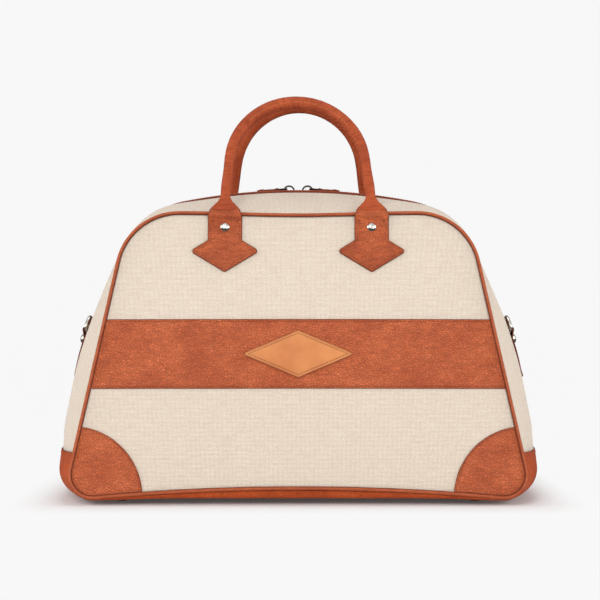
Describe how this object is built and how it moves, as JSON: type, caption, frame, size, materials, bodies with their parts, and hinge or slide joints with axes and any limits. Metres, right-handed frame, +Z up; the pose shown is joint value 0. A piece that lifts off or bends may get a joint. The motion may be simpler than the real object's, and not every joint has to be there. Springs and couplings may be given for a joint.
{
  "type": "doctor bag",
  "caption": "Arched canvas travel bag with leather band, corners and base, rolled leather handles, a zip over the ridge with sliders, end rings and metal feet.",
  "frame": {"origin": "on the floor under the middle of the base", "axes": "+Z up, front panel towards -Y, +X to the right seen from the front"},
  "size_m": [0.5096, 0.2336, 0.4228],
  "materials": {
    "canvas": "plain-woven cream canvas",
    "leather": "pebbled terracotta leather with stitched edges",
    "patch_leather": "smooth light tan leather, bare",
    "nickel": "bright nickel plate",
    "zip_metal": "worn nickel-plated teeth",
    "zip_tape": "brown woven tape",
    "lining": "plain cotton lining",
    "board": "stiff base board",
    "rope": "cotton rope core"
  },
  "bodies": {
    "bag": {"front_panel": "canvas", "back_panel": "canvas", "gusset_front": "canvas", "gusset_back": "canvas", "base_gusset": "leather", "base_board": "board", "feet": "nickel", "foot_nuts": "nickel", "lining": "lining", "front_band": "leather", "back_band": "leather", "corner_patch_front_right": "leather", "corner_patch_front_left": "leather", "corner_patch_back_right": "leather", "corner_patch_back_left": "leather", "name_patch": "patch_leather", "front_piping": "leather", "back_piping": "leather", "zip_facing_front": "leather", "zip_facing_back": "leather", "zip_tape_front": "zip_tape", "zip_tape_back": "zip_tape", "zip_teeth_front": "zip_metal", "zip_teeth_back": "zip_metal", "ring_tab_right": "leather", "ring_tab_left": "leather", "tab_stud_right": "nickel", "tab_stud_left": "nickel", "handle_tab_front_right": "leather", "handle_tab_front_left": "leather", "handle_tab_back_right": "leather", "handle_tab_back_left": "leather", "handle_rivets": "nickel", "rivet_washers": "nickel"},
    "handle_front": {"handle_front": "leather", "handle_core_front": "rope"},
    "handle_back": {"handle_back": "leather", "handle_core_back": "rope"},
    "slider_right": {"slider_right": "nickel"},
    "slider_left": {"slider_left": "nickel"},
    "pull_right": {"pull_link_right": "nickel", "pull_right": "leather", "pull_rivet_right": "nickel"},
    "pull_left": {"pull_link_left": "nickel", "pull_left": "leather", "pull_rivet_left": "nickel"},
    "ring_right": {"ring_right": "nickel"},
    "ring_left": {"ring_left": "nickel"}
  },
  "joints": [
    {"name": "handle_front_fold", "type": "hinge", "parent": "bag", "child": "handle_front", "pos_m": [0, -0.06817, 0.30074], "axis": [1, 0, 0], "range_deg": [-4, 150]},
    {"name": "handle_back_fold", "type": "hinge", "parent": "bag", "child": "handle_back", "pos_m": [0, 0.06817, 0.30074], "axis": [-1, 0, 0], "range_deg": [-4, 150]},
    {"name": "slider_right_travel", "type": "hinge", "parent": "bag", "child": "slider_right", "pos_m": [0, 0, -0.2982], "axis": [0, 1, 0], "range_deg": [0, 9.5], "deforming": ["zip_teeth_front", "zip_teeth_back"]},
    {"name": "slider_left_travel", "type": "hinge", "parent": "bag", "child": "slider_left", "pos_m": [0, 0, -0.2982], "axis": [0, -1, 0], "range_deg": [0, 9.5], "deforming": ["zip_teeth_front", "zip_teeth_back"]},
    {"name": "pull_right_swing", "type": "hinge", "parent": "slider_right", "child": "pull_right", "pos_m": [0.01254, 0, 0.32438], "axis": [0, -1, 0], "range_deg": [0, 95]},
    {"name": "pull_left_swing", "type": "hinge", "parent": "slider_left", "child": "pull_left", "pos_m": [-0.01254, 0, 0.32438], "axis": [0, 1, 0], "range_deg": [0, 95]},
    {"name": "ring_right_swing", "type": "hinge", "parent": "bag", "child": "ring_right", "pos_m": [0.22754, 0, 0.17346], "axis": [0, 1, 0], "range_deg": [0, 150]},
    {"name": "ring_left_swing", "type": "hinge", "parent": "bag", "child": "ring_left", "pos_m": [-0.22754, 0, 0.17346], "axis": [0, -1, 0], "range_deg": [0, 150]}
  ]
}
